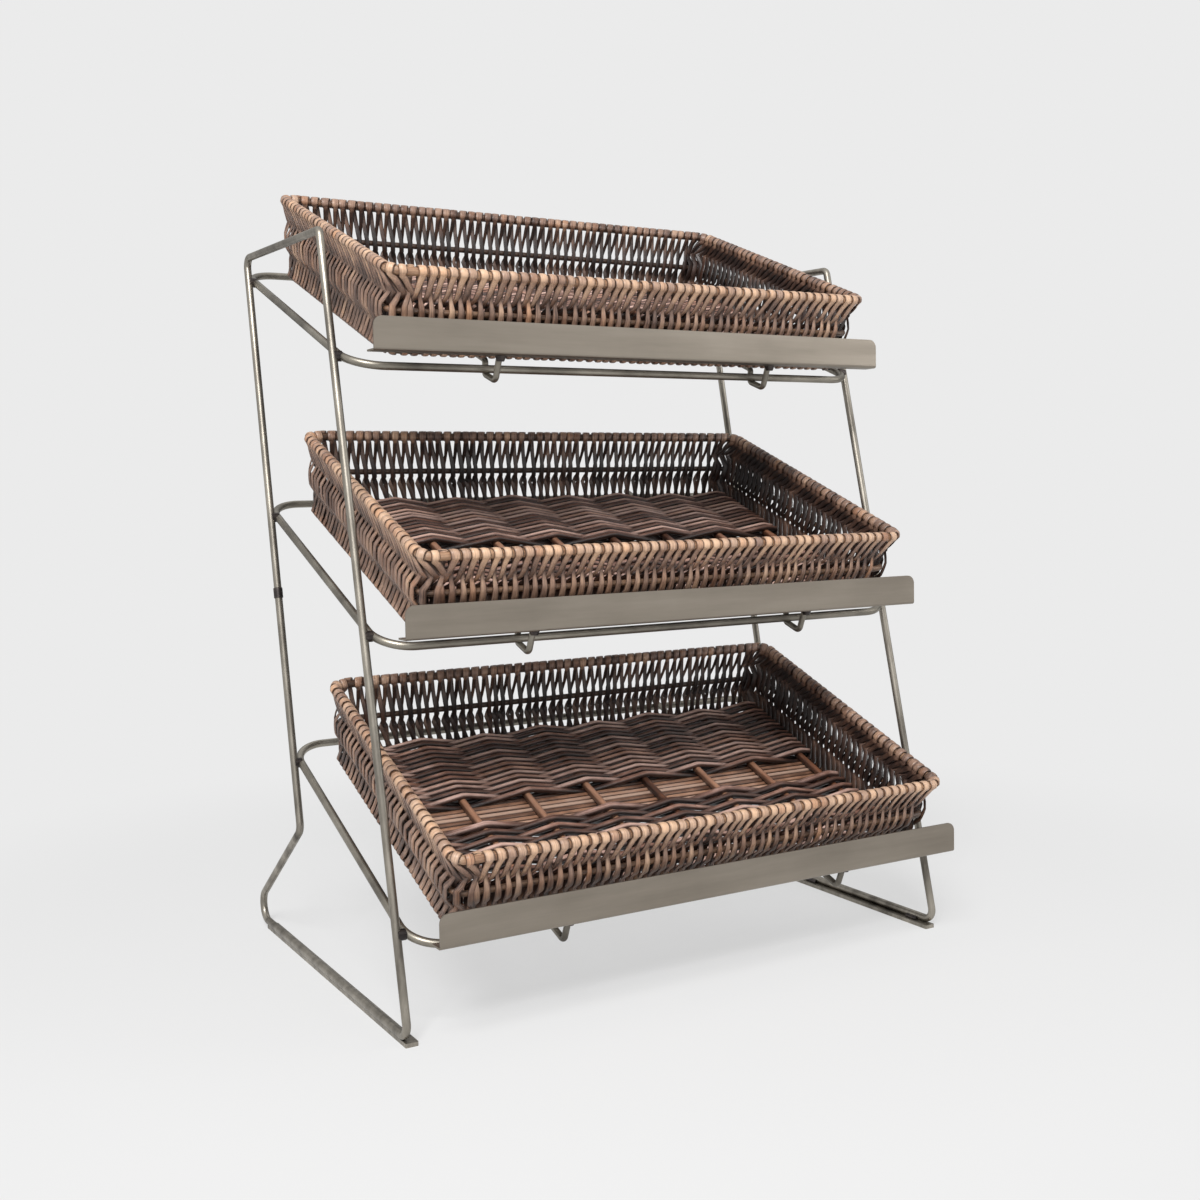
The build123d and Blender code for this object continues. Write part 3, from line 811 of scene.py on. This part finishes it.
def floor_tree():
    """A panel of rods that go over and under the stakes, neighbours the opposite way."""
    gaps_to_rod_end, sharpness, first_rods_thicker = 3.7, 0.998, 1.25
    tree, given = new_tree(
        "woven_floor", Rods=16, Pitch=0.0057, Rod=0.0058, Stakes=0.055, Wave=0.0062,
        Height=0.0087, Middle=0.07, Unevenness=0.0016, Seed=0, Willow="",
    )
    rods = rod_row(tree, figure(tree, "MULTIPLY", given["Stakes"], gaps_to_rod_end), 125,
                   given["Rods"], given["Pitch"], given["Middle"], given["Height"])
    number = add(tree, "GeometryNodeInputIndex").outputs[0]
    rods = keep(tree, rods, "row", number, "INT", "INSTANCE")
    chance = add(tree, "FunctionNodeRandomValue", {"Seed": given["Seed"]}, data_type="FLOAT")
    rods = keep(tree, rods, "tone", chance.outputs[1], domain="INSTANCE")
    rods = add(tree, "GeometryNodeRealizeInstances", {"Geometry": rods}).outputs[0]
    spot = add(tree, "GeometryNodeInputPosition").outputs[0]
    along, across, _ = add(tree, "ShaderNodeSeparateXYZ", {0: spot}).outputs
    odd = figure(tree, "MULTIPLY_ADD", figure(tree, "MODULO", kept(tree, "row", "INT"), 2), -2, 1)
    turn = figure(tree, "MULTIPLY", figure(tree, "DIVIDE", along, given["Stakes"]), math.pi)
    wave = figure(tree, "MULTIPLY", figure(tree, "SINE", turn), sharpness)
    wave = figure(tree, "DIVIDE", figure(tree, "ARCSINE", wave), math.asin(sharpness))
    wave = figure(tree, "MULTIPLY", figure(tree, "MULTIPLY", wave, odd), given["Wave"])
    squeezed = combined(tree, "MULTIPLY", spot, (16, 300, 1))
    shake = shaken(tree, squeezed, given["Seed"], given["Unevenness"])
    moved = combined(tree, "ADD", shake, vector(tree, 0, 0, wave))
    # How high the rod lies in its wave, for the material's painted shade on the low parts.
    rods = keep(tree, rods, "outside", figure(tree, "DIVIDE", wave, given["Wave"]))
    swell = mapped(tree, figure(tree, "ABSOLUTE", across), 0.021, 0.03, first_rods_thicker, 1)
    rods = keep(tree, rods, "swell", swell)
    rods = add(tree, "GeometryNodeSetPosition", {"Geometry": rods, "Offset": moved}).outputs[0]
    body = skin(tree, rods, 8, figure(tree, "MULTIPLY", kept(tree, "swell"), given["Rod"]))
    close(tree, body, given["Willow"])
    return tree


rods_maker = rods_tree()
floor_maker = floor_tree()
# Floor rods, sticks and stakes get painted shade on their flanks; floor rods also where they dip
# low.
floor_willow = willow("floor_willow",
                      ((0.065, 0.027, 0.017), (0.25, 0.125, 0.088), (0.68, 0.45, 0.37)),
                      shaded=(0.1, 0.08, 0.075), flank_shade=0.94)
stick_willow = willow("stick_willow",
                      ((0.12, 0.055, 0.032), (0.4, 0.205, 0.12), (0.5, 0.34, 0.26)), flank_shade=1.0)
stake_willow = willow("stake_willow",
                      ((0.07, 0.03, 0.018), (0.23, 0.102, 0.057), (0.4, 0.21, 0.13)), flank_shade=0.8)
quarter = Matrix.Rotation(math.pi / 2, 4, "Z")
for number, shelf in enumerate(shelf_names):
    place = places[shelf]
    inside_length = sizes[shelf]["Base length"] - wrapped_base - play
    inside_width = sizes[shelf]["Base width"] - wrapped_base - play
    piece = made_by(rods_maker, shelf + "_basket_stakes", place @ quarter, {
        "Count": stake_count, "Length": inside_width, "Rod": stake_rod, "Gap": stake_gap,
        "Height": stake_height, "Unevenness": 0.002, "Seed": 50 + number, "Willow": stake_willow,
    })
    fit(piece, shelf, "floor_stakes")
    piece = made_by(rods_maker, shelf + "_basket_sticks", place, {
        "Count": stick_count, "Length": inside_length, "Rod": stick_rod, "Gap": stick_pitch,
        "Height": stick_height, "Unevenness": 0.0016, "Seed": 60 + number, "Willow": stick_willow,
    })
    fit(piece, shelf, "centre_sticks")
    last_rod = inside_width / 2 - panel_margin
    for panel in panels:
        piece = made_by(floor_maker, shelf + "_basket_floor_" + panel["side"], place, {
            "Stakes": stake_gap, "Middle": panel["way"] * (first_rod + last_rod) / 2,
            "Rods": panel["rods"], "Pitch": (last_rod - first_rod) / (panel["rods"] - 1),
            "Rod": panel["rod"], "Wave": (stake_rod + panel["rod"]) / 2,
            "Seed": 70 + 10 * number + panel["way"], "Willow": floor_willow,
        })
        fit(piece, shelf, "floor_weave")
